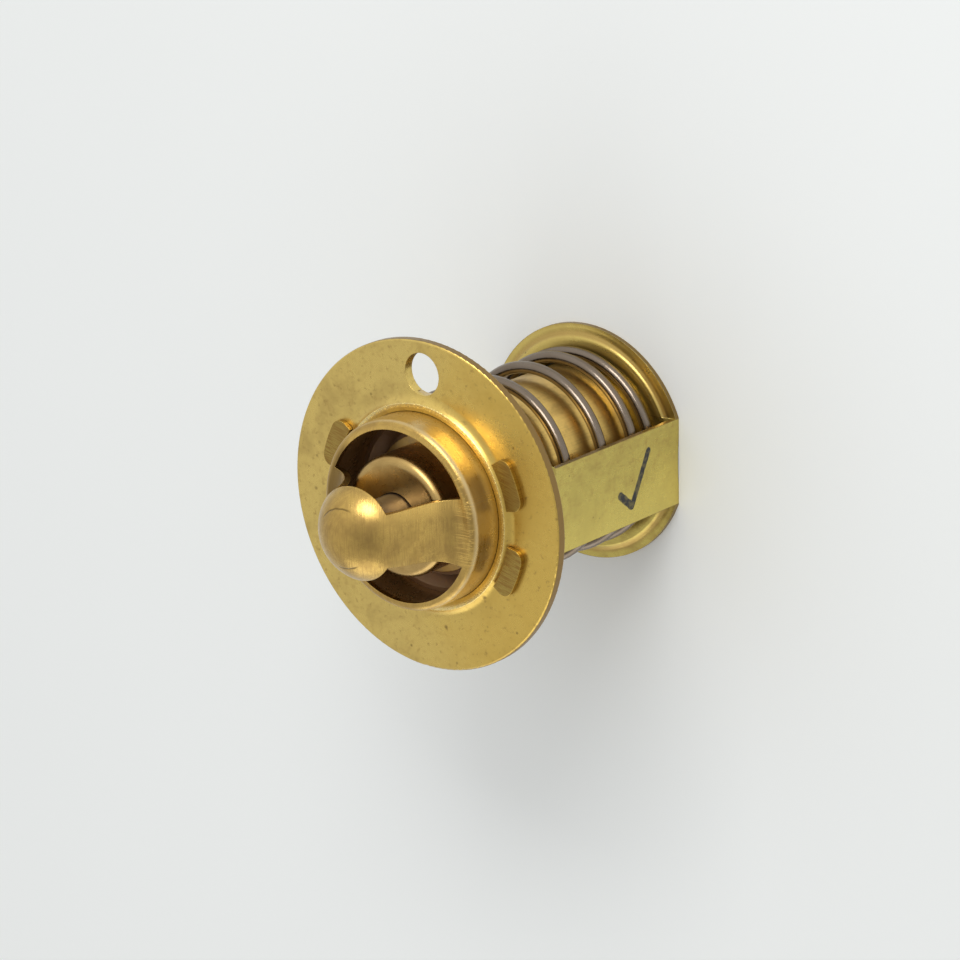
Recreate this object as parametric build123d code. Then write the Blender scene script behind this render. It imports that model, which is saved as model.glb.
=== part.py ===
"""Wax-pellet engine thermostat: a pressed brass flange and bridge, a stirrup frame, and a sprung valve.

Millimetres. +Z runs up the valve's axis with the nose on top. The part stands on the foot ring of its
frame at Z = 0. The legs and the bridge strap lie along X, and the vent hole along +Y.
"""
from build123d import *
from math import asin, atan2, cos, degrees, hypot, pi, radians, sin, tan
import os

# Fits
SLIP = 0.05                     # radial clearance of a sliding or locating fit
SEAT = 0.02                     # clearance between two faces that bear on each other
OVERRUN = 1.0                   # how far a cutter runs past what it cuts

# Flange, clamped in the housing
FLANGE_DIAMETER = 44.0
FLANGE_THICKNESS = 1.35
FLANGE_HEIGHT = 34.0            # upper face of the flange above the foot
FLANGE_EDGE_ROUND = 0.25
VENT_DIAMETER = 5.6
VENT_OFFSET = 17.65             # centre of the vent hole from the axis
COLLAR_LIP_HEIGHT = 0.68        # raised lip around the flange's middle hole
COLLAR_LIP_WIDTH = 1.05         # from the cup's wall out to the crest of the lip
COLLAR_FILLET_WIDTH = 1.3       # from the crest out to the flat face
COLLAR_CREST_WIDTH = 0.3        # crown of the lip, inside its crest
COLLAR_CREST_DROP = 0.06        # fall of the crown towards the cup
COLLAR_EDGE_BREAK = 0.1         # worn outer edge of the crest
COLLAR_INNER_HEIGHT = 0.41      # height of the lip where it meets the cup's wall
POCKET_CHAMFER = 0.45           # clears the bend between the cup's wall and its brim

# Bridge cup, drawn from one sheet
CUP_SHEET = 0.8
CUP_DIAMETER = 25.3
CUP_HEIGHT = 5.25               # rim above the flange's upper face
CUP_CORNER_ROUND = 1.0
TIGHTEST_BEND = 0.4             # smallest inside round of the drawn sheet
BRIM_WIDTH = 2.45               # brim of the cup, outside its wall
RIM_LAND = 1.2                  # rim left between the windows and the cup's wall
NOSE_HEIGHT = 16.9              # crown of the nose above the flange's upper face
NOSE_CROWN_RADIUS = 7.1         # the nose is a cap of a sphere
NOSE_DIAMETER = 12.4            # lower edge of the nose's cheeks
STRAP_ROOT_WIDTH = 9.0
STRAP_NECK_WIDTH = 7.0
WINDOW_CORNER_ROUND = 0.4

# Stirrup frame, stamped from one sheet
FRAME_SHEET = 0.7
FOOT_DIAMETER = 32.4
FOOT_RISE = 0.55                # spring track of the foot above its outer lip
FOOT_LIP_WIDTH = 0.8
FOOT_SLOPE_WIDTH = 1.2          # from the lip in to the track
FOOT_BEND_ROUND = 2.0
LEG_WIDTH = 11.8
FOOT_TO_CAPSULE = 0.25          # clear gap between the foot ring and the capsule
LEG_BEND_ROUND = 0.5
YOKE_HEIGHT = 3.8               # curved yoke at the top of each leg
YOKE_BLEND = 3.0                # leg changes from flat to curved over this height
YOKE_HALF_ANGLE = 36.0
TAB_START_ANGLE = 9.5
TAB_END_ANGLE = 34.5
TAB_HEAD_WIDTH = 2.6            # tab folded over the flange, measured outwards
TAB_CORNER_ROUND = 1.4

# Return spring
WIRE_DIAMETER = 1.6
SPRING_PITCH = 7.5              # of the open turns
CLOSED_GAP = 0.05               # between the wires of a closed turn
SPRING_TO_LEG = 0.9             # clear gap between the coils and the legs
DEAD_TURNS = 0.28               # closed part of a turn at each end
RAMP_TURNS = 1.95               # turns over which the coils open
SPRING_START_ANGLE = 153.0      # where the wire's lower end lies round the axis
SPRING_STEPS = 20               # points in each turn

# Valve plate
VALVE_SHEET = 0.8
VALVE_OVERHANG = 1.2            # rim of the valve outside the cup's wall
SPRING_LOCATION = 0.4           # clear gap between the coils and the dish that centres them
HUB_DROP = 1.0                  # hub of the valve plate below its seat
HUB_WIDTH = 1.6
VALVE_EDGE_ROUND = 0.25

# Wax element
PISTON_DIAMETER = 6.4
PISTON_END_ROUND = 0.6
BOSS_DIAMETER = 16.2
BOSS_HEIGHT = 5.7               # front face of the boss above the flange's upper face
BOSS_EDGE_ROUND = 1.2
BOSS_BORE_ROUND = 0.25
GROOVE_DEPTH = 0.5
CLIP_WIDTH = 1.5
CLIP_THICKNESS = 1.0
CLIP_OPENING = 4.0
CAPSULE_DIAMETER = 22.4
CAPSULE_WALL = 1.5
CAPSULE_FLOOR_HEIGHT = 0.4      # underside of the capsule above the foot
CAPSULE_ROUND = 1.5
CRIMP_SHEET = 0.6
CRIMP_ROUND = 0.4
CRIMP_TO_BOSS = 0.5             # clear gap between the crimped rim and the guide's boss
GUIDE_FLANGE_THICKNESS = 1.6
GUIDE_FLANGE_DROP = 1.6         # guide's flange below the hub of the valve plate
BOOT_FLANGE_THICKNESS = 1.3
BOOT_WALL = 2.0
BOOT_LENGTH = 18.0
BOOT_END_ROUND = 1.2
WASHER_THICKNESS = 1.0
SOCKET_DEPTH = 1.8              # socket of the nose seat that holds the piston's end
PLUG_HEIGHT = 2.8               # nose seat, from the crown of the dome down

# Worked out from the sizes above
flange_radius = FLANGE_DIAMETER / 2
cup_radius = CUP_DIAMETER / 2
cup_bore = cup_radius - CUP_SHEET
collar_bore = cup_radius + SLIP
crest_radius = cup_radius + COLLAR_LIP_WIDTH
brim_radius = cup_radius + BRIM_WIDTH
pocket_radius = brim_radius + SLIP
flange_under = FLANGE_HEIGHT - FLANGE_THICKNESS
brim_under = flange_under
brim_top = brim_under + CUP_SHEET
window_radius = cup_radius - RIM_LAND
nose_radius = NOSE_DIAMETER / 2
nose_top = FLANGE_HEIGHT + NOSE_HEIGHT
nose_centre = nose_top - NOSE_CROWN_RADIUS
nose_slope = asin(nose_radius / NOSE_CROWN_RADIUS)
nose_bore = NOSE_CROWN_RADIUS - CUP_SHEET
cheek_z = nose_centre + NOSE_CROWN_RADIUS * cos(nose_slope)
rim_z = FLANGE_HEIGHT + CUP_HEIGHT
crest_z = FLANGE_HEIGHT + COLLAR_LIP_HEIGHT

yoke_outer = brim_radius - SLIP
yoke_inner = yoke_outer - FRAME_SHEET
yoke_top = brim_under - SEAT
leg_outer = yoke_outer
leg_inner = leg_outer - FRAME_SHEET
foot_radius = FOOT_DIAMETER / 2
foot_bore = CAPSULE_DIAMETER / 2 + FOOT_TO_CAPSULE
track_top = FOOT_RISE + FRAME_SHEET

coil_radius = leg_inner - SPRING_TO_LEG - WIRE_DIAMETER / 2
piston_radius = PISTON_DIAMETER / 2
boss_radius = BOSS_DIAMETER / 2
groove_radius = boss_radius - GROOVE_DEPTH
boss_top = FLANGE_HEIGHT + BOSS_HEIGHT
valve_top = brim_under - SEAT
valve_radius = cup_radius + VALVE_OVERHANG
hub_top = valve_top - HUB_DROP
clip_bottom = hub_top + SEAT
clip_top = clip_bottom + CLIP_THICKNESS
guide_flange_top = hub_top - VALVE_SHEET - GUIDE_FLANGE_DROP
guide_flange_under = guide_flange_top - GUIDE_FLANGE_THICKNESS
capsule_radius = CAPSULE_DIAMETER / 2
capsule_bore = capsule_radius - CAPSULE_WALL
crimp_bore = capsule_radius - CRIMP_SHEET
guide_flange_radius = crimp_bore - SLIP
boot_top = guide_flange_under - SEAT
boot_under = boot_top - BOOT_FLANGE_THICKNESS
capsule_ledge = boot_under - SEAT
boot_bore = piston_radius + SLIP
boot_radius = boot_bore + BOOT_WALL
boot_end = boot_under - BOOT_LENGTH
washer_radius = boot_radius + SLIP
washer_top = guide_flange_under + WASHER_THICKNESS
piston_end = boot_end + BOOT_WALL + SLIP
plug_under = nose_centre + nose_bore - PLUG_HEIGHT


def outline(*points, rounds=()):
    """Closed outline; each round is a corner of it and that corner's radius."""
    face = make_face(Polyline(*points, close=True))
    for corner, radius in rounds:
        vertex = face.vertices().sort_by_distance(corner)[0]
        face = fillet(vertex, radius)
    return face


def turned(section):
    """Solid of revolution about Z from a section drawn as (radius, height)."""
    return revolve(Plane.XZ * section, axis=Axis.Z)


def tube(outer, inner, bottom, top):
    """Plain ring about Z."""
    return turned(outline((inner, bottom), (outer, bottom), (outer, top), (inner, top)))


def rod(radius, bottom, top):
    """Plain cylinder about Z."""
    return Pos(0, 0, bottom) * Cylinder(radius, top - bottom, align=(Align.CENTER, Align.CENTER, Align.MIN))


def slant_shift(sheet, rise, run):
    """How far a bend stands apart on the two faces of a sheet that slants by this rise and run."""
    return sheet * tan(atan2(rise, run) / 2)


def sector(inner, outer, start, end):
    """Flat piece of a ring between two angles."""
    def at(radius, angle):
        return (radius * cos(radians(angle)), radius * sin(radians(angle)))

    middle = (start + end) / 2
    edges = [
        ThreePointArc(at(inner, start), at(inner, middle), at(inner, end)),
        Line(at(inner, end), at(outer, end)),
        ThreePointArc(at(outer, end), at(outer, middle), at(outer, start)),
        Line(at(outer, start), at(inner, start)),
    ]
    return make_face(edges)


def raised(face, bottom, top):
    """Flat face in XY extruded between two heights."""
    return extrude(Pos(0, 0, bottom) * face, amount=top - bottom, dir=(0, 0, 1))


def in_pairs(solid):
    """The solid and its mirror image across the YZ plane."""
    return [solid, mirror(solid, about=Plane.YZ)]


def at_each_tab(solid):
    """The solid and its copies at the four tabs."""
    pair = [solid, mirror(solid, about=Plane.XZ)]
    return [copy for one in pair for copy in in_pairs(one)]


def tab_slot(gap):
    """Curved slot for one tab, in plan."""
    spread = degrees(gap / yoke_inner)
    return sector(yoke_inner - gap, yoke_outer + gap, TAB_START_ANGLE - spread, TAB_END_ANGLE + spread)


def vent():
    """Cutter for the vent hole, through the flange and the edge of the brim under it."""
    return Pos(0, VENT_OFFSET) * rod(VENT_DIAMETER / 2, flange_under - OVERRUN, FLANGE_HEIGHT + OVERRUN)


def seat_flange():
    """Flange plate, joggled up round its middle hole to make a lip and a pocket for the cup's brim."""
    fillet_start = crest_radius + COLLAR_FILLET_WIDTH
    crest_edge = (crest_radius + COLLAR_EDGE_BREAK, crest_z - COLLAR_EDGE_BREAK)
    crown_end = (crest_radius - COLLAR_CREST_WIDTH, crest_z - COLLAR_CREST_DROP)
    inner_edge = (collar_bore, FLANGE_HEIGHT + COLLAR_INNER_HEIGHT)
    pocket_top = brim_top + SEAT
    edges = [
        Line((flange_radius, flange_under), (flange_radius, FLANGE_HEIGHT)),
        Line((flange_radius, FLANGE_HEIGHT), (fillet_start, FLANGE_HEIGHT)),
        TangentArc((fillet_start, FLANGE_HEIGHT), crest_edge, tangent=(-1, 0)),
        Line(crest_edge, (crest_radius, crest_z)),
        Line((crest_radius, crest_z), crown_end),
        Line(crown_end, inner_edge),
        Line(inner_edge, (collar_bore, pocket_top)),
        Line((collar_bore, pocket_top), (pocket_radius, pocket_top)),
        Line((pocket_radius, pocket_top), (pocket_radius, flange_under)),
        Line((pocket_radius, flange_under), (flange_radius, flange_under)),
    ]
    section = make_face(edges)
    for corner in ((flange_radius, FLANGE_HEIGHT), (flange_radius, flange_under)):
        section = fillet(section.vertices().sort_by_distance(corner)[0], FLANGE_EDGE_ROUND)
    pocket_corner = section.vertices().sort_by_distance((collar_bore, pocket_top))[0]
    section = chamfer(pocket_corner, POCKET_CHAMFER)
    slot = raised(tab_slot(SLIP), flange_under - OVERRUN, crest_z + OVERRUN)
    return turned(section) - vent() - at_each_tab(slot)


def bell_section(inset):
    """Half section of the bell, moved inwards by the inset, from below the brim to the crown."""
    wall = cup_radius - inset
    top = rim_z - inset
    corner = max(CUP_CORNER_ROUND - inset, TIGHTEST_BEND)
    crown = NOSE_CROWN_RADIUS - inset
    shoulder = (wall - corner, top)
    knee = (wall, top - corner)
    bow = (wall - corner + corner * cos(pi / 4), top - corner + corner * sin(pi / 4))
    cheek = (crown * sin(nose_slope), nose_centre + crown * cos(nose_slope))
    brow = (crown * sin(nose_slope / 2), nose_centre + crown * cos(nose_slope / 2))
    foot = brim_under - OVERRUN
    edges = [
        Line((0, foot), (wall, foot)),
        Line((wall, foot), knee),
        ThreePointArc(knee, bow, shoulder),
        Spline(shoulder, cheek, tangents=[(-1, 0), (-cos(nose_slope), sin(nose_slope))]),
        ThreePointArc(cheek, brow, (0, nose_centre + crown)),
        Line((0, nose_centre + crown), (0, foot)),
    ]
    return make_face(edges)


def bridge_windows():
    """Plan of the two outlet windows on either side of the strap, which also passes under the nose."""
    reach = cup_radius
    neck_x = nose_radius * cos(asin(STRAP_NECK_WIDTH / NOSE_DIAMETER))
    root_x = window_radius * cos(asin(STRAP_ROOT_WIDTH / 2 / window_radius))
    taper = (STRAP_ROOT_WIDTH - STRAP_NECK_WIDTH) / 2 / (root_x - neck_x)
    end_half = STRAP_ROOT_WIDTH / 2 + taper * (reach - root_x)
    neck_half = STRAP_NECK_WIDTH / 2
    corners = [(neck_x, -neck_half), (reach, -end_half), (reach, end_half), (neck_x, neck_half)]
    others = [(-x, -y) for x, y in corners]
    strap = make_face(Polyline(*corners, *others, close=True))
    window = Circle(window_radius) - strap
    return [fillet(face.vertices(), WINDOW_CORNER_ROUND) for face in window.faces()]


def bridge_cup():
    """Cup, strap and domed nose drawn from one sheet, with a brim that the frame clamps."""
    body = turned(bell_section(0)) - turned(bell_section(CUP_SHEET))
    body &= rod(cup_radius + OVERRUN, brim_under, nose_top + OVERRUN)
    body += tube(brim_radius, cup_bore, brim_under, brim_top)
    for window in bridge_windows():
        body -= raised(window, brim_top, cheek_z)
    notch = raised(tab_slot(SLIP), brim_under - OVERRUN, brim_top + OVERRUN)
    return body - vent() - at_each_tab(notch)


def leg():
    """One leg: flat from the foot, then curved into a yoke with two tabs folded over the flange."""
    yoke_bottom = yoke_top - YOKE_HEIGHT
    flat_top = yoke_bottom - YOKE_BLEND
    middle_x = (leg_inner + leg_outer) / 2
    plan = Pos(middle_x, 0) * Rectangle(FRAME_SHEET, LEG_WIDTH)
    flat = raised(plan, 0, flat_top)
    corner = flat.edges().filter_by(Axis.Y).group_by(Axis.Z)[0].sort_by(Axis.X)[-1]
    flat = fillet(corner, LEG_BEND_ROUND)
    half_angle = YOKE_HALF_ANGLE
    bow = sector(yoke_inner, yoke_outer, -half_angle, half_angle)
    blend = loft([Pos(0, 0, flat_top) * plan.face(), Pos(0, 0, yoke_bottom) * bow.face()])
    return flat + blend + raised(bow, yoke_bottom, yoke_top)


def tab():
    """One tab: a neck through the flange and a head folded outwards over it."""
    head_bottom = FLANGE_HEIGHT + SEAT
    head_top = head_bottom + FRAME_SHEET
    neck = sector(yoke_inner, yoke_outer, TAB_START_ANGLE, TAB_END_ANGLE)
    head = sector(yoke_inner, yoke_inner + TAB_HEAD_WIDTH, TAB_START_ANGLE, TAB_END_ANGLE)
    far = head.vertices().sort_by(lambda v: hypot(v.X, v.Y))[-2:]
    head = fillet(far, TAB_CORNER_ROUND)
    return raised(neck, yoke_top - FRAME_SHEET, head_top) + raised(head, head_bottom, head_top)


def lower_frame():
    """Stirrup: a foot ring with a raised spring track, two legs bent up from it, and four tabs."""
    lip = foot_radius - FOOT_LIP_WIDTH
    track = lip - FOOT_SLOPE_WIDTH
    shift = slant_shift(FRAME_SHEET, FOOT_RISE, FOOT_SLOPE_WIDTH)
    bends = [(lip + shift, FRAME_SHEET), (track + shift, track_top)]
    ring = turned(outline(
        (foot_bore, FOOT_RISE),
        (track, FOOT_RISE),
        (lip, 0),
        (foot_radius, 0),
        (foot_radius, FRAME_SHEET),
        *bends,
        (foot_bore, track_top),
        rounds=[(bend, FOOT_BEND_ROUND) for bend in bends],
    ))
    ring &= Box(2 * leg_outer, 2 * (foot_radius + OVERRUN), 2 * (track_top + OVERRUN))
    return ring + in_pairs(leg()) + at_each_tab(tab())


def opened(turns):
    """Turns' worth of full opening gained since the coils began to open."""
    if turns <= 0:
        return 0.0
    if turns < RAMP_TURNS:
        return turns * turns / (2 * RAMP_TURNS)
    return turns - RAMP_TURNS / 2


def return_spring():
    """Left-hand compression spring with closed ends, from the foot's track to the valve plate."""
    wire = WIRE_DIAMETER / 2
    bottom = track_top + SEAT + wire
    top = valve_top - VALVE_SHEET - SEAT - wire
    closed_pitch = WIRE_DIAMETER + CLOSED_GAP
    opening = SPRING_PITCH - closed_pitch
    turns = (top - bottom + opening * (RAMP_TURNS + 2 * DEAD_TURNS)) / SPRING_PITCH
    closing = turns - DEAD_TURNS - RAMP_TURNS
    count = int(turns * SPRING_STEPS)
    points = []
    for i in range(count + 1):
        turn = turns * i / count
        angle = radians(SPRING_START_ANGLE) - 2 * pi * turn
        gained = opened(turn - DEAD_TURNS) - opened(turn - closing)
        z = bottom + closed_pitch * turn + opening * gained
        points.append((coil_radius * cos(angle), coil_radius * sin(angle), z))
    path = Spline(*points)
    section = Plane(origin=path @ 0, z_dir=path % 0) * Circle(wire)
    return sweep(section, path=path)


def piston():
    """Steel piston, held in the nose seat and reaching down into the boot."""
    top = plug_under + SOCKET_DEPTH - SEAT
    return turned(outline(
        (0, piston_end),
        (piston_radius, piston_end),
        (piston_radius, top),
        (0, top),
        rounds=[((piston_radius, z), PISTON_END_ROUND) for z in (piston_end, top)],
    ))


def nose_seat():
    """Plug inside the dome with a socket that centres the piston."""
    radius = nose_bore - SLIP
    ball = Pos(0, 0, nose_centre) * Sphere(radius)
    socket = rod(piston_radius + SLIP, plug_under, plug_under + SOCKET_DEPTH)
    return (ball & rod(radius, plug_under, nose_top)) - socket


def valve_plate():
    """Dished valve: a flat seating ring outside, a hub that rides on the guide inside."""
    bore = boss_radius + SLIP
    hub = bore + HUB_WIDTH
    dish_end = min(coil_radius - WIRE_DIAMETER / 2 - SPRING_LOCATION, cup_bore)
    shift = slant_shift(VALVE_SHEET, HUB_DROP, dish_end - hub)
    hub_under = hub_top - VALVE_SHEET
    rim_under = valve_top - VALVE_SHEET
    return turned(outline(
        (bore, hub_under),
        (hub + shift, hub_under),
        (dish_end, rim_under),
        (valve_radius, rim_under),
        (valve_radius, valve_top),
        (dish_end - shift, valve_top),
        (hub, hub_top),
        (bore, hub_top),
        rounds=[((valve_radius, z), VALVE_EDGE_ROUND) for z in (valve_top, rim_under)],
    ))


def retaining_clip():
    """Split ring in the guide's groove, above the valve plate."""
    inner = groove_radius + SLIP
    ring = tube(inner + CLIP_WIDTH, inner, clip_bottom, clip_top)
    middle = (clip_bottom + clip_top) / 2
    opening = Pos(-inner - CLIP_WIDTH / 2, 0, middle) * Box(3 * CLIP_WIDTH, CLIP_OPENING, 2 * CLIP_THICKNESS)
    return ring - opening


def guide_body():
    """Turned guide: a boss that the piston slides in, with a clip groove and a flange to crimp."""
    bore = piston_radius + SLIP
    counterbore = washer_radius + SLIP
    counterbore_top = washer_top + SEAT
    return turned(outline(
        (bore, boss_top),
        (boss_radius, boss_top),
        (boss_radius, clip_top + SEAT),
        (groove_radius, clip_top + SEAT),
        (groove_radius, clip_bottom - SEAT),
        (boss_radius, clip_bottom - SEAT),
        (boss_radius, guide_flange_top),
        (guide_flange_radius, guide_flange_top),
        (guide_flange_radius, guide_flange_under),
        (counterbore, guide_flange_under),
        (counterbore, counterbore_top),
        (bore, counterbore_top),
        rounds=[((boss_radius, boss_top), BOSS_EDGE_ROUND), ((bore, boss_top), BOSS_BORE_ROUND)],
    ))


def seal_washer():
    """Washer that backs the boot in the guide's counterbore."""
    return tube(washer_radius, piston_radius + SLIP, guide_flange_under, washer_top)


def rubber_boot():
    """Closed rubber sleeve round the piston, with a flange clamped by the guide."""
    return turned(outline(
        (boot_bore, boot_top),
        (guide_flange_radius, boot_top),
        (guide_flange_radius, boot_under),
        (boot_radius, boot_under),
        (boot_radius, boot_end),
        (0, boot_end),
        (0, boot_end + BOOT_WALL),
        (boot_bore, boot_end + BOOT_WALL),
        rounds=[((boot_radius, boot_end), BOOT_END_ROUND)],
    ))


def wax_capsule():
    """Drawn cup that holds the wax, its rim crimped over the guide's flange."""
    floor = CAPSULE_FLOOR_HEIGHT
    crimp = guide_flange_top + SEAT
    top = crimp + CRIMP_SHEET
    crimp_lip = boss_radius + CRIMP_TO_BOSS
    return turned(outline(
        (0, floor),
        (capsule_radius, floor),
        (capsule_radius, top),
        (crimp_lip, top),
        (crimp_lip, crimp),
        (crimp_bore, crimp),
        (crimp_bore, capsule_ledge),
        (capsule_bore, capsule_ledge),
        (capsule_bore, floor + CAPSULE_WALL),
        (0, floor + CAPSULE_WALL),
        rounds=[((capsule_radius, floor), CAPSULE_ROUND), ((capsule_radius, top), CRIMP_ROUND)],
    ))


def wax_charge():
    """Wax between the capsule and the boot."""
    inner = boot_radius + SLIP
    outer = capsule_bore - SLIP
    bottom = CAPSULE_FLOOR_HEIGHT + CAPSULE_WALL + SEAT
    return turned(outline(
        (0, bottom),
        (outer, bottom),
        (outer, capsule_ledge - SEAT),
        (inner, capsule_ledge - SEAT),
        (inner, boot_end - SLIP),
        (0, boot_end - SLIP),
    ))


NODES = {
    "seat_flange": seat_flange,
    "bridge_cup": bridge_cup,
    "lower_frame": lower_frame,
    "nose_seat": nose_seat,
    "piston": piston,
    "return_spring": return_spring,
    "valve_plate": valve_plate,
    "retaining_clip": retaining_clip,
    "guide_body": guide_body,
    "seal_washer": seal_washer,
    "rubber_boot": rubber_boot,
    "wax_charge": wax_charge,
    "wax_capsule": wax_capsule,
}

os.makedirs("parts", exist_ok=True)
for name, build in NODES.items():
    export_step(build(), f"parts/{name}.step")
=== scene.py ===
"""Finishes, light and camera for a flanged coolant valve with brass and steel pieces."""
import math

import bmesh
import bpy
from bpy.props import FloatProperty, FloatVectorProperty, PointerProperty
from mathutils import Matrix, Vector


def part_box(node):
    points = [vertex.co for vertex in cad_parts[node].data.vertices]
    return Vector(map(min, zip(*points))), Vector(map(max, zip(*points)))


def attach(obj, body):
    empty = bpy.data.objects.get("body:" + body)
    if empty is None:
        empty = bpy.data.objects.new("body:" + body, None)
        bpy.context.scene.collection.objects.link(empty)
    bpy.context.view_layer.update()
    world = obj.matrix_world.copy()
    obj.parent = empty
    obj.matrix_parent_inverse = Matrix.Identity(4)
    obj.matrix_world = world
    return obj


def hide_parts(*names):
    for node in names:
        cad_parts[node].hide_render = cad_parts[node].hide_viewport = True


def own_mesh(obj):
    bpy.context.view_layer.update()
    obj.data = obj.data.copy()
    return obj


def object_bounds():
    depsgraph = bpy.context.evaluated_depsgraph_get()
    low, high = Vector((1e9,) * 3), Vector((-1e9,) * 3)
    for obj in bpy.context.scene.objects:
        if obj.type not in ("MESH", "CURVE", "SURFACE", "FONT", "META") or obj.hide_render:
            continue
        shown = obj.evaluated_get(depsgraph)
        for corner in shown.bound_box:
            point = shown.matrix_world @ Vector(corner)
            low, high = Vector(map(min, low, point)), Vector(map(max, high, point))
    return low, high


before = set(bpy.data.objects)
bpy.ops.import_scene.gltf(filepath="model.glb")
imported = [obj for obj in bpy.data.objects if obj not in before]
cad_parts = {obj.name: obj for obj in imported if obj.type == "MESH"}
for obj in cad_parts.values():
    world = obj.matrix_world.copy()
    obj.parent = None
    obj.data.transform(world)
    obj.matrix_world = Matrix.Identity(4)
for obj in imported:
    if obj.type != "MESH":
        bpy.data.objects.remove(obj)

bl_info = {
    "name": "Coolant valve finishes",
    "version": (1, 0, 0),
    "blender": (4, 5, 0),
    "location": "View3D > Sidebar > Coolant valve",
    "description": "Brass and steel finishes, studio light and camera for a flanged wax-pellet coolant valve",
    "category": "Material",
}

CAD_LOW, CAD_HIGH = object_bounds()

MM = 0.001

# Places on the valve in millimetres, measured out from its axis and up from its foot
FLANGE_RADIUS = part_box("seat_flange")[1].x / MM
FLANGE_FACE_Z = 34.0
LIP_CREST = 13.7                # crest of the lip round the flange's middle hole
CUP_RADIUS = 12.65
CUP_BORE = 11.85
CUP_RIM_Z = 39.25
LAND_RADIUS = 12.0              # on the rim land beside the windows
STRAP_ROOT_HALF = 4.5
STRAP_NECK_HALF = 3.5
NOSE_RADIUS = 6.2
NOSE_TOP_Z = CAD_HIGH[2] / MM
CREASE_RADIUS = 3.9             # of the folds round the nose's crown
TAB_REACH = 1.9                 # how far the tabs stand out past the legs' outer faces
LEG_FACE_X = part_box("lower_frame")[1].x / MM - TAB_REACH
LEG_HALF_WIDTH = 5.9
LEG_FOOT_Z = 1.0
LEG_SHOULDER_Z = 26.0           # the legs' edges are straight up to here
FOOT_RADIUS = 16.2
WIRE = 1.6
COIL_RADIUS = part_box("return_spring")[1].x / MM - WIRE / 2

# The flange's scratches: angle in degrees, width and length in millimetres, share of the face, seed
FLANGE_SCRATCHES = (
    (20, 0.10, 9.0, 0.30, 3.0),
    (75, 0.08, 6.0, 0.28, 17.0),
    (-40, 0.12, 12.0, 0.30, 29.0),
)

# Tints that go over the colours of the property groups
# Painted highlight laid along the crest of the flange's lip
LIP_CREST_HIGHLIGHT = (0.92, 0.76, 0.42)
# Painted reflection of the flange on the cup's outer wall
WALL_REFLECTION = (0.85, 0.68, 0.38)
TAB_BROWN = (0.31, 0.180, 0.045)
WIRE_TEMPER = (0.16, 0.115, 0.075)
# Tint for dirt and painted shade where the coils lie close to other parts
WIRE_GRIME_AND_SHADE = (0.16, 0.12, 0.09)
ROD_SMOKE = (0.24, 0.19, 0.15)
CLIP_TARNISH = (0.28, 0.22, 0.17)
RUBBER_BLOOM = (0.10, 0.10, 0.095)
COPPER_GRAINS = (0.72, 0.40, 0.22)

# Settings that properties share
COLOUR = {"subtype": "COLOR", "min": 0, "max": 1}
SHARE = {"subtype": "FACTOR", "min": 0, "max": 1}


# Shader values

class Value:
    """A socket of a shader tree; arithmetic on it adds Math nodes."""

    def __init__(self, tree, socket):
        self.tree = tree
        self.socket = socket

    def math(self, operation, *terms):
        return self.tree.add("ShaderNodeMath", {"operation": operation}, dict(enumerate(terms)))

    def __add__(self, other):
        return self.math("ADD", self, other)

    def __sub__(self, other):
        return self.math("SUBTRACT", self, other)

    def __rsub__(self, other):
        return self.math("SUBTRACT", other, self)

    def __mul__(self, other):
        return self.math("MULTIPLY", self, other)

    def __truediv__(self, other):
        return self.math("DIVIDE", self, other)

    def __pow__(self, other):
        return self.math("POWER", self, other)

    def __abs__(self):
        return self.math("ABSOLUTE", self)

    __radd__ = __add__
    __rmul__ = __mul__

    def larger(self, other):
        return self.math("MAXIMUM", self, other)

    def between(self, low, high):
        """0 below the low value, 1 above the high one, and a smooth rise between them."""
        settings = {"interpolation_type": "SMOOTHSTEP"}
        inputs = {"Value": self, "From Min": low, "From Max": high}
        return self.tree.add("ShaderNodeMapRange", settings, inputs)

    def within(self, rise, fall):
        """1 in a band of values that rises between one pair of values and falls between another."""
        return self.between(*rise) * (1 - self.between(*fall))

    def beside(self, output):
        """Another output of the same node."""
        return Value(self.tree, self.socket.node.outputs[output])


class Tree:
    """A shader tree that starts empty."""

    def __init__(self, node_tree):
        self.nodes = node_tree.nodes
        self.links = node_tree.links
        self.nodes.clear()

    def add(self, kind, settings=None, inputs=None, out=0):
        """A node of this type, with its settings set first and then its sockets' values or links."""
        node = self.nodes.new(kind)
        for name, value in (settings or {}).items():
            setattr(node, name, value)
        for name, value in (inputs or {}).items():
            if isinstance(value, Value):
                self.links.new(value.socket, node.inputs[name])
            else:
                node.inputs[name].default_value = value
        return Value(self, node.outputs[out]) if node.outputs else None

    def dot(self, first, second):
        """How far one direction points along another: 1 for the same one, 0 for a square angle."""
        settings = {"operation": "DOT_PRODUCT"}
        return self.add("ShaderNodeVectorMath", settings, {0: first, 1: second}, out="Value")


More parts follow.
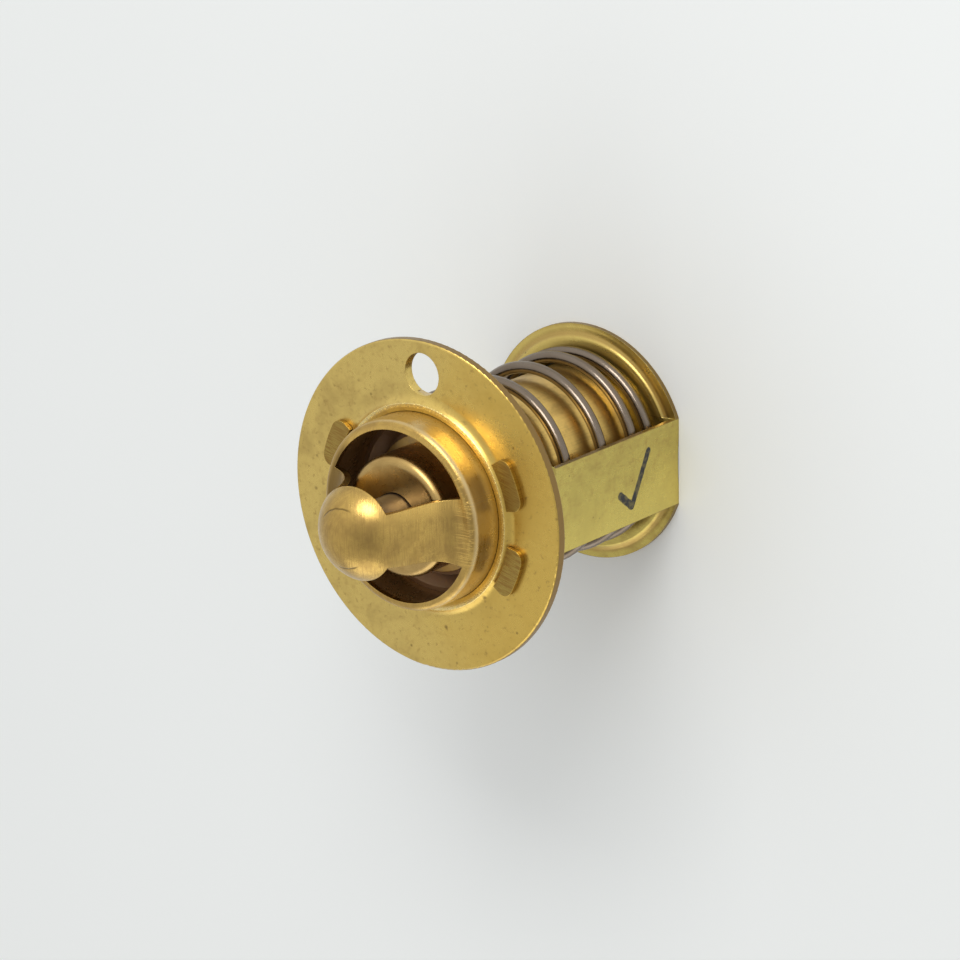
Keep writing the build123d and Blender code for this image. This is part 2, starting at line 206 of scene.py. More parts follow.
class Finish(Tree):
    """A material being built, with the place of a point in millimetres and shared texture layers."""

    def __init__(self, name):
        self.material = bpy.data.materials.new(name)
        self.material.use_nodes = True
        super().__init__(self.material.node_tree)
        place = self.add("ShaderNodeTexCoord", out="Object")
        self.place = self.add("ShaderNodeVectorMath", {"operation": "SCALE"}, {0: place, "Scale": 1 / MM})
        self.x = self.add("ShaderNodeSeparateXYZ", inputs={"Vector": self.place})
        self.y = self.x.beside("Y")
        self.z = self.x.beside("Z")

    def radius(self):
        """Distance from the valve's axis."""
        return (self.x * self.x + self.y * self.y) ** 0.5

    def turn(self):
        """Angle round the valve's axis, in radians."""
        return self.x.math("ARCTAN2", self.y, self.x)

    def blotches(self, size, detail=4.0, roughness=0.55, warp=0.0, seed=0.0):
        """Cloudy noise whose patches are about this many millimetres across."""
        shift = (seed, seed * 0.7, seed * 1.3)
        place = self.add("ShaderNodeVectorMath", {"operation": "ADD"}, {0: self.place, 1: shift})
        noise = {"Scale": 1 / size, "Detail": detail, "Roughness": roughness, "Distortion": warp}
        return self.add("ShaderNodeTexNoise", inputs={"Vector": place, **noise})

    def streaks(self, across, along, width, length, seed=0.0, detail=2.0):
        """Noise drawn out along one direction, for drawn grain and scratches."""
        point = {"X": across / width, "Y": along / length, "Z": seed}
        place = self.add("ShaderNodeCombineXYZ", inputs=point)
        noise = {"Scale": 1.0, "Detail": detail, "Roughness": 0.6}
        return self.add("ShaderNodeTexNoise", inputs={"Vector": place, **noise})

    def scratches(self, angle, width, length, share, seed):
        """Sparse thin scratches on a face square to the axis, lying at this angle; 1 on a scratch."""
        slant = math.radians(angle)
        bend = self.blotches(9.0, detail=1.0, seed=seed) * 1.6
        across = self.x * -math.sin(slant) + self.y * math.cos(slant) + bend
        along = self.x * math.cos(slant) + self.y * math.sin(slant)
        noise = self.streaks(across, along, width, length, seed, detail=1.0)
        return noise.between(1 - share, 1 - share + 0.06)

    def dings(self, size, share, reach):
        """Small round dents, one in some of the cells of a grid of this size; 1 at a dent's middle."""
        inputs = {"Vector": self.place, "Scale": 1 / size, "Randomness": 1.0}
        distance = self.add("ShaderNodeTexVoronoi", inputs=inputs, out="Distance")
        pick = self.add("ShaderNodeSeparateColor", inputs={"Color": distance.beside("Color")})
        return (1 - distance.between(0.0, reach)) * pick.between(1 - share, 1 - share + 0.02)

    def mix(self, factor, first, second):
        """Two colours mixed; a factor of 1 gives the second."""
        return self.add("ShaderNodeMix", {"data_type": "RGBA"}, {0: factor, 6: first, 7: second}, out=2)

    def crevices(self, reach):
        """1 in corners and gaps, within this many millimetres; the finishes darken there for dirt and for
        painted shade.
        """
        light = self.add("ShaderNodeAmbientOcclusion", {"samples": 6}, {"Distance": reach * MM}, out="AO")
        return 1 - light

    def rounded(self, radius):
        """Normal of the surface with its edges rounded by this many millimetres."""
        return self.add("ShaderNodeBevel", {"samples": 6}, {"Radius": radius * MM})

    def worn_edges(self, rounded):
        """1 along sharp edges, where the rounded normal leaves the flat one."""
        flat = self.add("ShaderNodeNewGeometry", out="Normal")
        return (1 - self.dot(flat, rounded)).between(0.01, 0.12)

    def finish(self, colour, roughness, height, metallic=1.0, normal=None, **constants):
        """Principled surface; the height is in millimetres and makes the bump."""
        bump_inputs = {"Height": height, "Distance": MM, "Strength": 1.0}
        if normal is not None:
            bump_inputs["Normal"] = normal
        bump = self.add("ShaderNodeBump", inputs=bump_inputs)
        inputs = {"Base Color": colour, "Roughness": roughness, "Metallic": metallic, "Normal": bump}
        inputs.update({name.replace("_", " "): value for name, value in constants.items()})
        surface = self.add("ShaderNodeBsdfPrincipled", inputs=inputs)
        self.add("ShaderNodeOutputMaterial", inputs={"Surface": surface})
        return self.material


def opaque(colour):
    """A colour with an alpha of one."""
    return (*colour, 1.0)


def shade(colour, factor):
    """A colour made darker or lighter, with an alpha of one."""
    return (*(min(1.0, part * factor) for part in colour), 1.0)


def dress(node, material):
    """Puts a material in every slot of a CAD node."""
    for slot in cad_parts[node].material_slots:
        slot.material = material


def satin_brass(name, base, looks, patch=7.0):
    """A new brass finish with pale wiped patches, brown stains and fine cloudiness.

    Gives the finish, its colour, its roughness and the normal of its worn edges.
    """
    f = Finish(name)
    cloud = f.blotches(patch, detail=5.0, roughness=0.6, warp=0.6)
    fine = f.blotches(0.9, detail=3.0, seed=11.0)
    wiped = f.blotches(patch * 1.7, detail=3.0, seed=31.0).between(0.45, 0.7)
    stained = cloud.between(0.42, 0.75) * looks.stain_amount
    colour = f.mix(stained, opaque(base), opaque(looks.stain_colour))
    colour = f.mix(wiped * 0.35, colour, shade(base, 1.12))
    colour = f.mix(fine.between(0.48, 0.80) * 0.38, colour, shade(looks.stain_colour, 1.35))
    roughness = looks.brass_roughness + (cloud - 0.5) * 0.22 + (fine - 0.5) * 0.2
    return f, colour, roughness, f.rounded(looks.edge_round / MM)


# Sizes and colours

class BrassLook(bpy.types.PropertyGroup):
    """Colours and surface of the brass pieces."""
    flange_colour: FloatVectorProperty(
        name="Flange", description="Brass of the flange plate", default=(0.72, 0.535, 0.165), **COLOUR)
    bridge_colour: FloatVectorProperty(
        name="Bridge", description="Brass of the cup, strap and nose", default=(0.58, 0.385, 0.108), **COLOUR)
    frame_colour: FloatVectorProperty(
        name="Frame", description="Brass of the stirrup frame", default=(0.57, 0.465, 0.125), **COLOUR)
    turned_colour: FloatVectorProperty(
        name="Turned parts", description="Brass of the guide and the nose seat",
        default=(0.56, 0.375, 0.135), **COLOUR)
    valve_colour: FloatVectorProperty(
        name="Valve plate", description="Brass of the valve plate", default=(0.30, 0.185, 0.110), **COLOUR)
    capsule_colour: FloatVectorProperty(
        name="Capsule", description="Brass of the wax capsule", default=(0.80, 0.545, 0.165), **COLOUR)
    burnt_colour: FloatVectorProperty(
        name="Burnt brown", description="Coolant stain inside the cup",
        default=(0.33, 0.180, 0.115), **COLOUR)
    gilt_colour: FloatVectorProperty(
        name="Gilt", description="Redder gold where the flange was dipped and wiped",
        default=(0.70, 0.465, 0.095), **COLOUR)
    stain_colour: FloatVectorProperty(
        name="Stains", description="Brown tarnish on the brass", default=(0.30, 0.185, 0.060), **COLOUR)
    # The cut edges' copper tint is made dark as painted shade, for the dark reflection along the flange's rim
    cut_edge_tint_and_shade: FloatVectorProperty(
        name="Cut edges", description="Copper tint of the sheared edges",
        default=(0.21, 0.125, 0.055), **COLOUR)
    stain_amount: FloatProperty(
        name="Stain amount", description="How strongly the tarnish shows", default=0.45, **SHARE)
    brass_roughness: FloatProperty(
        name="Roughness", description="Mean roughness of the brass", default=0.30, **SHARE)
    edge_round: FloatProperty(
        name="Edge round", description="Radius of the worn edges", subtype="DISTANCE", unit="LENGTH",
        min=0.0, default=0.10 * MM)


class SteelLook(bpy.types.PropertyGroup):
    """Colours of the steel and soft pieces."""
    wire_colour: FloatVectorProperty(
        name="Spring wire", description="Drawn stainless wire", default=(0.205, 0.165, 0.128), **COLOUR)
    piston_colour: FloatVectorProperty(
        name="Piston", description="Ground steel rod", default=(0.30, 0.26, 0.235), **COLOUR)
    clip_colour: FloatVectorProperty(
        name="Clip", description="Split retaining ring", default=(0.62, 0.410, 0.140), **COLOUR)
    washer_colour: FloatVectorProperty(
        name="Washer", description="White slippery plastic", default=(0.82, 0.81, 0.77), **COLOUR)
    rubber_colour: FloatVectorProperty(
        name="Boot", description="Black rubber", default=(0.03, 0.03, 0.03), **COLOUR)
    wax_colour: FloatVectorProperty(
        name="Wax", description="Wax filled with copper powder", default=(0.50, 0.26, 0.14), **COLOUR)
    ink_colour: FloatVectorProperty(
        name="Ink", description="Felt-pen tick on the leg", default=(0.012, 0.012, 0.015), **COLOUR)


class StudioLook(bpy.types.PropertyGroup):
    """Floor, lamps and camera."""
    floor_colour: FloatVectorProperty(
        name="Floor", description="Pale table top", default=(0.84, 0.86, 0.85), **COLOUR)
    floor_size: FloatProperty(
        name="Floor size", description="Side of the table top", subtype="DISTANCE", unit="LENGTH",
        min=0.5, default=6.0)
    room_dark: FloatProperty(
        name="Room level", description="Light level of the room away from the soft box", min=0, default=0.66)
    room_bright: FloatProperty(
        name="Bright side", description="Light level of the room round the soft box", min=0, default=0.95)
    hood_depth: FloatProperty(
        name="Hood depth", description="How much darker the room is overhead", default=0.35, **SHARE)
    key_power: FloatProperty(
        name="Key power", description="Power of the large soft box", subtype="POWER", unit="POWER",
        min=0, default=1.6)
    fill_power: FloatProperty(
        name="Fill power", description="Power of the bounce board", subtype="POWER", unit="POWER",
        min=0, default=0.35)
    camera_place: FloatVectorProperty(
        name="Camera place", description="Where the camera stands", subtype="TRANSLATION", unit="LENGTH",
        default=(0.33051, 0.17522, 0.41736))
    camera_lens: FloatProperty(
        name="Lens", description="Focal length on a 36 mm sensor", subtype="DISTANCE_CAMERA", unit="CAMERA",
        min=10, default=156.983)


# Finishes of the pieces

def flange_finish(looks):
    """Blanked flange plate: scratches, dings, stains, a painted highlight on the crest of its lip, dirt and
    painted shade in its corners and a dark copper rim that is partly painted shade.
    """
    f, colour, roughness, edges = satin_brass("flange brass", looks.flange_colour, looks)
    radius = f.radius()
    gilt = (f.x + f.blotches(9.0, detail=2.0, seed=19.0) * 14 - 7).between(-6.0, 16.0)
    lines = f.scratches(*FLANGE_SCRATCHES[0])
    for scratch in FLANGE_SCRATCHES[1:]:
        lines = lines.larger(f.scratches(*scratch))
    pits = f.dings(2.6, 0.35, 0.12).larger(f.dings(5.5, 0.45, 0.08))
    rim = radius.between(FLANGE_RADIUS - 0.07, FLANGE_RADIUS - 0.01)
    grime_and_shade = f.crevices(1.2) * radius.between(LIP_CREST + 0.3, LIP_CREST + 0.6)
    specks = f.blotches(0.8, detail=5.0, roughness=0.7, seed=73.0).between(0.55, 0.72)
    crest = radius.within((LIP_CREST - 0.60, LIP_CREST - 0.35), (LIP_CREST - 0.05, LIP_CREST + 0.15))
    knurl = f.streaks(f.turn() * (LIP_CREST - 0.2), radius, 0.09, 1.0, seed=10.0).between(0.50, 0.62) * crest
    swell = f.blotches(5.0, detail=2.0, seed=5.0)
    tooth = f.blotches(0.35, detail=2.0, seed=7.0)
    colour = f.mix(gilt * 0.75, colour, opaque(looks.gilt_colour))
    colour = f.mix(specks * 0.55, colour, opaque(looks.stain_colour))
    # Dirt and painted shade in the corners near the lip
    colour = f.mix(grime_and_shade.between(0.35, 1.0) * 0.35, colour, shade(looks.stain_colour, 0.9))
    # Painted highlight along the crest of the lip
    colour = f.mix(crest * 0.5, colour, opaque(LIP_CREST_HIGHLIGHT))
    colour = f.mix(knurl * 0.7, colour, shade(looks.flange_colour, 1.50))
    # Copper tint on the sheared rim, made dark as painted shade
    colour = f.mix(rim * 0.85, colour, opaque(looks.cut_edge_tint_and_shade))
    colour = f.mix(pits * 0.8, colour, shade(looks.stain_colour, 0.6))
    roughness = roughness + lines * 0.10 + grime_and_shade * 0.25 + rim * 0.08 - crest * 0.08
    height = swell * 0.03 - lines * 0.002 - pits * 0.02 + knurl * 0.015 + tooth * 0.003
    return f.finish(colour, roughness, height, normal=edges)


def crown_creases(f, radius, turn):
    """Two fine folds that the drawing left round the crown of the nose, one on each side of the strap."""
    wander = f.blotches(1.5, detail=2.0, seed=45.0) * 0.3 - 0.15
    ring = 1 - abs(radius - CREASE_RADIUS - wander).between(0.0, 0.16)
    front = 1 - abs(turn - 1.90).between(0.45, 0.75)
    back = 1 - abs(turn + 1.37).between(0.25, 0.50)
    return ring * front.larger(back) * f.z.between(NOSE_TOP_Z - 3.0, NOSE_TOP_Z - 2.5)


def rubbed_spots(f, radius, turn):
    """Spots of the cup that are rubbed bright: the strap's root at +X and the rim land beside it."""
    root = f.x.within((CUP_BORE - 2.45, CUP_BORE - 1.45), (CUP_BORE - 0.15, CUP_BORE + 0.45))
    root = root * (1 - abs(f.y).between(STRAP_ROOT_HALF - 0.6, STRAP_ROOT_HALF + 0.7))
    rubbed = f.streaks(f.y, f.x, 0.11, 9.0, seed=22.0, detail=1.0).between(0.52, 0.66) * root
    land = radius.within((CUP_BORE - 0.50, CUP_BORE - 0.25), (CUP_RADIUS - 0.35, CUP_RADIUS - 0.05))
    land = land * f.z.between(CUP_RIM_Z - 0.95, CUP_RIM_Z - 0.55)
    nicks = f.streaks(turn * LAND_RADIUS, radius, 0.11, 0.9, seed=24.0).between(0.55, 0.63) * land
    return rubbed.larger(nicks * (1 - abs(turn - 0.5).between(0.5, 1.1)))


def bridge_finish(looks):
    """Drawn cup, strap and nose: grain along the strap, rubbed spots, fine creases near the nose's crown
    darkened as painted shade, a painted highlight on the strap's +Y flank, a painted reflection on the cup's
    outer wall, and dirt and painted shade in its corners.
    """
    f, colour, roughness, edges = satin_brass("bridge brass", looks.bridge_colour, looks, patch=4.5)
    worn = f.worn_edges(edges)
    radius = f.radius()
    turn = f.turn()
    strap = 1 - radius.between(CUP_BORE - 0.25, CUP_BORE + 0.35)
    down = abs(f.x) + f.x * 0.3 - f.z
    strap_grain = f.streaks(down, f.y, 0.24, 2.6, seed=9.0, detail=3.0)
    wall_grain = f.streaks(f.z, turn * (CUP_RADIUS - 0.05), 0.12, 3.0, seed=2.0)
    grain = strap_grain * strap + wall_grain * (1 - strap)
    flank = f.y.between(STRAP_NECK_HALF - 1.9, STRAP_NECK_HALF + 0.3)
    beyond_nose = radius.between(NOSE_RADIUS - 0.2, NOSE_RADIUS + 1.3)
    lit = flank * beyond_nose * strap * (0.5 + grain.between(0.4, 0.6) * 0.5)
    far = (1 - f.x.between(2.35 - CUP_BORE, 4.35 - CUP_BORE)) * strap
    brown = f.blotches(2.2, detail=5.0, roughness=0.65, seed=49.0).between(0.42, 0.72)
    bright = rubbed_spots(f, radius, turn)
    below_rim = 1 - f.z.between(CUP_RIM_Z - 1.25, CUP_RIM_Z - 0.85)
    inside = (1 - radius.between(CUP_BORE - 0.05, CUP_BORE + 0.05)) * below_rim
    wall = radius.between(CUP_RADIUS - 0.35, CUP_RADIUS - 0.05)
    crease = crown_creases(f, radius, turn)
    grime_and_shade = f.crevices(1.6) * (1 - radius.between(CUP_RADIUS - 0.35, CUP_RADIUS - 0.15))
    swell = f.blotches(2.5, detail=2.0, seed=15.0)
    colour = f.mix(brown * 0.55, colour, shade(looks.stain_colour, 1.15))
    colour = f.mix(grain.between(0.46, 0.64) * 0.42, colour, shade(looks.stain_colour, 1.2))
    # Painted highlight along the strap's +Y flank
    colour = f.mix(lit * 0.7, colour, shade(looks.bridge_colour, 1.45))
    colour = f.mix(far * 0.85, colour, shade(looks.stain_colour, 0.65))
    # Dirt and painted shade in corners and gaps
    colour = f.mix(grime_and_shade.between(0.35, 1.0) * 0.4, colour, shade(looks.stain_colour, 0.7))
    colour = f.mix(worn * 0.6, colour, shade(looks.bridge_colour, 1.25))
    # Painted reflection of the flange on the cup's outer wall
    colour = f.mix(wall * 0.5, colour, opaque(WALL_REFLECTION))
    colour = f.mix(bright * 0.6, colour, shade(looks.bridge_colour, 1.70))
    # Painted shade darkens the folds round the nose's crown
    colour = f.mix(crease * 0.8, colour, shade(looks.stain_colour, 0.5))
    colour = f.mix(inside * 0.85, colour, opaque(looks.burnt_colour))
    roughness = roughness + (grain - 0.5) * 0.16 + grime_and_shade * 0.15 - worn * 0.08 - bright * 0.08
    height = grain * 0.022 + swell * 0.03 - crease * 0.04 + bright * 0.007
    return f.finish(colour, roughness, height, metallic=1 - inside * 0.6, normal=edges)


def sheared_edges(f, radius, below_tabs):
    """1 on the sheared faces of the frame: the long edges of its legs and the outer edge of its foot."""
    leg_edge = abs(f.y).within(
        (LEG_HALF_WIDTH - 0.030, LEG_HALF_WIDTH - 0.005), (LEG_HALF_WIDTH + 0.005, LEG_HALF_WIDTH + 0.030))
    straight = f.z.within((LEG_FOOT_Z - 0.2, LEG_FOOT_Z), (LEG_SHOULDER_Z, LEG_SHOULDER_Z + 0.2))
    foot_edge = radius.between(FOOT_RADIUS - 0.08, FOOT_RADIUS - 0.02)
    return (leg_edge * straight).larger(foot_edge * below_tabs)


def frame_finish(looks, ink):
    """Stamped stirrup: a long grain on the legs, browned tabs, a bumped ring groove in the foot darkened as
    painted shade, painted highlights towards the legs' -Y side and on the foot's +Y side, dirt and painted
    shade in its corners, and a felt-pen tick.
    """
    f, colour, roughness, edges = satin_brass("frame brass", looks.frame_colour, looks, patch=5.5)
    worn = f.worn_edges(edges)
    radius = f.radius()
    grain = f.streaks(f.y, f.z, 0.16, 5.0, seed=4.0)
    heads = f.z.between(FLANGE_FACE_Z, FLANGE_FACE_Z + 0.05)
    rolled = f.streaks(f.y + f.x * 0.25, f.x, 0.14, 2.5, seed=21.0)
    grime_and_shade = f.crevices(1.0)
    pits = f.dings(2.2, 0.5, 0.10)
    tick = pen_tick(f)
    below_tabs = 1 - f.z.between(FLANGE_FACE_Z - 1.5, FLANGE_FACE_Z - 0.2)
    cut = sheared_edges(f, radius, below_tabs)
    slope = f.z.within((0.5, 0.7), (1.5, 1.7)) * abs(f.y).between(LEG_HALF_WIDTH, LEG_HALF_WIDTH + 0.1)
    foot = radius.between(FOOT_RADIUS - 3.2, FOOT_RADIUS - 2.7) * slope
    ring = radius.within((FOOT_RADIUS - 1.9, FOOT_RADIUS - 1.4), (FOOT_RADIUS - 1.2, FOOT_RADIUS - 0.5))
    shaded_groove = ring * foot
    clouds = f.blotches(5.0, detail=2.0, seed=27.0) * 6
    painted_highlight = (clouds - f.y - f.z * 0.15 - 1.5).between(-3.0, 5.0) * below_tabs
    mottle = f.blotches(1.3, detail=6.0, roughness=0.7, seed=75.0).between(0.50, 0.74)
    swell = f.blotches(3.0, detail=2.0, seed=25.0)
    colour = f.mix(grain.between(0.5, 0.8) * 0.22, colour, shade(looks.stain_colour, 1.3))
    colour = f.mix(mottle * 0.5, colour, shade(looks.stain_colour, 1.2))
    # Painted highlight that grows towards the legs' -Y side and lower down
    colour = f.mix(painted_highlight * (1 - foot) * 0.65, colour, shade(looks.frame_colour, 1.35))
    # Painted highlight: the foot ring outside the spring is made lighter and yellower towards +Y
    colour = f.mix(foot * f.y.between(-4.0, 9.0) * 0.6, colour, opaque(looks.flange_colour))
    # Painted shade: a dark ring on the foot, with the bumped groove, stands for the shade of a step
    colour = f.mix(shaded_groove * 0.6, colour, shade(looks.stain_colour, 1.3))
    # Copper tint on the sheared edges, in the same colour made dark as painted shade
    colour = f.mix(cut * 0.8, colour, opaque(looks.cut_edge_tint_and_shade))
    colour = f.mix(heads * (0.60 + rolled.between(0.40, 0.62) * 0.4), colour, opaque(TAB_BROWN))
    # Dirt and painted shade in corners and gaps
    colour = f.mix(grime_and_shade.between(0.2, 0.9) * 0.55, colour, shade(looks.stain_colour, 0.8))
    colour = f.mix(pits * 0.8, colour, shade(looks.stain_colour, 0.6))
    colour = f.mix(worn * 0.4, colour, shade(looks.frame_colour, 1.15))
    colour = f.mix(worn * heads * 0.7, colour, shade(looks.gilt_colour, 1.15))
    colour = f.mix(tick, colour, opaque(ink))
    roughness = roughness + (grain - 0.5) * 0.12 + grime_and_shade * 0.2 + tick * 0.15
    height = grain * 0.006 + heads * rolled * 0.02 + swell * 0.02 - pits * 0.02 - shaded_groove * 0.13
    return f.finish(colour, roughness, height, metallic=1 - tick * 0.9, normal=edges)


def pen_stroke(f, start, end, width):
    """A straight pen stroke on the leg's face, from one point (y, z) to another; 1 on the stroke."""
    run = (end[0] - start[0], end[1] - start[1])
    length = math.hypot(*run)
    unit = (run[0] / length, run[1] / length)
    y = f.y - start[0]
    z = f.z - start[1]
    along = y * unit[0] + z * unit[1]
    beyond = (along * -1.0).larger(along - length).larger(0.0)
    aside = y * -unit[1] + z * unit[0]
    away = (aside * aside + beyond * beyond) ** 0.5
    ragged = f.blotches(0.5, detail=2.0, seed=40.0) * 0.22 - 0.11
    return 1 - (away + ragged).between(width * 0.42, width * 0.58)


def pen_tick(f):
    """An inspector's plain tick in felt pen on the outer face of the +X leg."""
    short = pen_stroke(f, start=(-1.5, 12.5), end=(-3.4, 10.2), width=1.10)
    tall = pen_stroke(f, start=(-3.5, 10.1), end=(3.2, 6.6), width=0.95)
    on_leg = f.x.between(LEG_FACE_X - 0.08, LEG_FACE_X - 0.02)
    patchy = 0.82 + f.blotches(0.8, detail=3.0, seed=44.0).between(0.4, 0.6) * 0.18
    return short.larger(tall) * on_leg * patchy


def turned_finish(looks):
    """Lathe-turned brass: fine rings round the axis, darker in its corners with dirt and painted shade."""
    f, colour, roughness, edges = satin_brass("turned brass", looks.turned_colour, looks, patch=3.5)
    rings = f.streaks(f.radius() + f.z * 0.8, f.turn(), 0.06, 3.0, seed=6.0)
    grime_and_shade = f.crevices(1.2)
    colour = f.mix(rings.between(0.45, 0.8) * 0.35, colour, shade(looks.stain_colour, 0.9))
    # Dirt and painted shade in corners and gaps
    colour = f.mix(grime_and_shade.between(0.3, 1.0) * 0.6, colour, shade(looks.stain_colour, 0.6))
    roughness = roughness + (rings - 0.5) * 0.2
    height = rings * 0.006 + f.blotches(1.5, detail=2.0, seed=33.0) * 0.008
    return f.finish(colour, roughness, height, normal=edges)


def capsule_finish(looks):
    """Drawn capsule: draw lines along its wall and brown tarnish."""
    f, colour, roughness, edges = satin_brass("capsule brass", looks.capsule_colour, looks, patch=4.0)
    draw = f.streaks(f.turn() * 10.0, f.z, 0.15, 6.0, seed=8.0)
    grime_and_shade = f.crevices(1.5)
    colour = f.mix(draw.between(0.45, 0.75) * 0.20, colour, shade(looks.stain_colour, 1.1))
    # Dirt and painted shade in corners and gaps
    colour = f.mix(grime_and_shade.between(0.6, 1.0) * 0.15, colour, shade(looks.stain_colour, 0.8))
    roughness = roughness + 0.04 + (draw - 0.5) * 0.10
    height = draw * 0.003 + f.blotches(3.0, detail=2.0, seed=35.0) * 0.02
    return f.finish(colour, roughness, height, normal=edges)


def valve_finish(looks):
    """Pressed valve plate, browned by heat, with faint pressing rings."""
    f, colour, roughness, edges = satin_brass("valve brass", looks.valve_colour, looks, patch=3.0)
    rings = f.streaks(f.radius(), f.turn(), 0.15, 3.0, seed=12.0)
    # Dirt and painted shade in corners and gaps
    colour = f.mix(f.crevices(1.5).between(0.3, 1.0) * 0.5, colour, shade(looks.stain_colour, 0.6))
    roughness = roughness + 0.06 + (rings - 0.5) * 0.1
    height = rings * 0.008 + f.blotches(2.0, detail=2.0, seed=37.0) * 0.015
    return f.finish(colour, roughness, height, metallic=0.6 + rings * 0.2, normal=edges)


def wire_finish(looks):
    """Drawn spring wire: fine die lines along the wire, a brownish heat tint, and a painted highlight that
    makes the coil's outer side lighter than its inner side.
    """
    f = Finish("spring wire")
    cloud = f.blotches(3.0, detail=4.0, seed=51.0)
    lines = f.streaks(f.radius() * 6.0 + f.z * 2.0, f.turn() * COIL_RADIUS, 0.5, 9.0, seed=14.0)
    bright = f.radius().between(COIL_RADIUS, COIL_RADIUS + 0.7)
    colour = f.mix(cloud.between(0.4, 0.7) * 0.45, opaque(looks.wire_colour), opaque(WIRE_TEMPER))
    # Painted highlight: the outer side of the coil is made lighter than the side that faces the capsule
    colour = f.mix(bright * 0.35, colour, shade(looks.wire_colour, 1.25))
    # Dirt and painted shade where the coils lie close to other parts
    colour = f.mix(f.crevices(1.0).between(0.4, 1.0) * 0.5, colour, opaque(WIRE_GRIME_AND_SHADE))
    roughness = 0.23 + (cloud - 0.5) * 0.12 + (lines - 0.5) * 0.10
    height = lines * 0.003 + f.blotches(0.9, detail=2.0, seed=53.0) * 0.003
    return f.finish(colour, roughness, height)


def rod_finish(looks):
    """Ground piston rod: fine rings from grinding and a rubbed, smoky surface."""
    f = Finish("piston steel")
    rings = f.streaks(f.z + f.radius(), f.turn(), 0.05, 2.0, seed=16.0)
    smoke = f.blotches(2.0, detail=4.0, seed=55.0)
    colour = f.mix(smoke.between(0.4, 0.7) * 0.5, opaque(looks.piston_colour), opaque(ROD_SMOKE))
    roughness = 0.32 + (rings - 0.5) * 0.16 + (smoke - 0.5) * 0.2
    return f.finish(colour, roughness, rings * 0.004, normal=f.rounded(0.1))


def clip_finish(looks):
    """Stamped ring of tempered spring steel, straw-coloured, with sheared edges."""
    f = Finish("clip steel")
    cloud = f.blotches(1.2, detail=4.0, seed=57.0)
    lines = f.streaks(f.radius(), f.turn(), 0.08, 1.5, seed=18.0)
    colour = f.mix(cloud.between(0.4, 0.75) * 0.5, opaque(looks.clip_colour), opaque(CLIP_TARNISH))
    roughness = 0.36 + (cloud - 0.5) * 0.2
    return f.finish(colour, roughness, lines * 0.006 + cloud * 0.01, normal=f.rounded(0.12))


def washer_finish(looks):
    """White plastic washer, cut from rod: faint rings and handling marks."""
    f = Finish("washer plastic")
    cloud = f.blotches(1.5, detail=4.0, seed=59.0)
    rings = f.streaks(f.radius(), f.turn(), 0.07, 2.0, seed=20.0)
    marks = cloud.between(0.45, 0.8) * 0.4
    colour = f.mix(marks, opaque(looks.washer_colour), shade(looks.washer_colour, 0.75))
    return f.finish(colour, 0.42 + (cloud - 0.5) * 0.2, rings * 0.006, metallic=0.0)


def rubber_finish(looks):
    """Moulded rubber boot: matt bloom and fine mould texture."""
    f = Finish("boot rubber")
    bloom = f.blotches(2.5, detail=5.0, seed=61.0)
    grain = f.blotches(0.2, detail=2.0, seed=63.0)
    colour = f.mix(bloom.between(0.45, 0.75) * 0.5, opaque(looks.rubber_colour), opaque(RUBBER_BLOOM))
    return f.finish(colour, 0.62 + (bloom - 0.5) * 0.25, grain * 0.01, metallic=0.0)


def wax_finish(looks):
    """Cast wax filled with copper powder: grains and soft flow marks."""
    f = Finish("filled wax")
    grains = f.blotches(0.12, detail=2.0, seed=65.0)
    flow = f.blotches(3.0, detail=4.0, warp=1.2, seed=67.0)
    colour = f.mix(grains.between(0.5, 0.75) * 0.7, opaque(looks.wax_colour), opaque(COPPER_GRAINS))
    colour = f.mix(flow.between(0.4, 0.7) * 0.4, colour, shade(looks.wax_colour, 0.6))
    return f.finish(colour, 0.5 + (flow - 0.5) * 0.2, flow * 0.03 + grains * 0.006, metallic=0.1)


def floor_finish(colour):
    """Pale table top with a faint sheen and slight unevenness."""
    f = Finish("pale table")
    cloud = f.blotches(60.0, detail=3.0, seed=71.0)
    tone = f.mix(cloud.between(0.3, 0.8) * 0.25, opaque(colour), shade(colour, 0.97))
    return f.finish(tone, 0.34 + (cloud - 0.5) * 0.1, cloud * 0.01, metallic=0.0, Specular_IOR_Level=0.25)


# Spring and studio

def moving_spring(material):
    """A copy of the return spring in this material, put in place of the rigid one and parented to the
    housing.
    """
    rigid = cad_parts["return_spring"]
    mesh = rigid.data.copy()
    mesh.transform(rigid.matrix_world)
    for index in range(len(mesh.materials)):
        mesh.materials[index] = material
    spring = bpy.data.objects.new("coil_spring", mesh)
    bpy.context.collection.objects.link(spring)
    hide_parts("return_spring")
    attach(spring, "housing")
    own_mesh(spring)


def soft_box(name, place, aim, width, height, power):
    """A rectangular soft lamp that looks at a point."""
    lamp = bpy.data.lights.new(name, "AREA")
    lamp.shape = "RECTANGLE"
    lamp.size = width
    lamp.size_y = height
    lamp.energy = power
    made = bpy.data.objects.new(name, lamp)
    made.location = place
    made.rotation_mode = "QUATERNION"
    made.rotation_quaternion = (Vector(aim) - Vector(place)).to_track_quat("-Z", "Y")
    bpy.context.collection.objects.link(made)


def make_lamps(studio):
    """The large soft box on the +Y side and a dim bounce board across from it."""
    middle = (0.0, 0.0, 0.028)
    soft_box("key_box", place=(0.125, 0.475, 0.375), aim=middle, width=0.36, height=0.22,
             power=studio.key_power)
    soft_box("bounce_board", place=(-0.02, -0.45, 0.16), aim=middle, width=0.40, height=0.30,
             power=studio.fill_power)


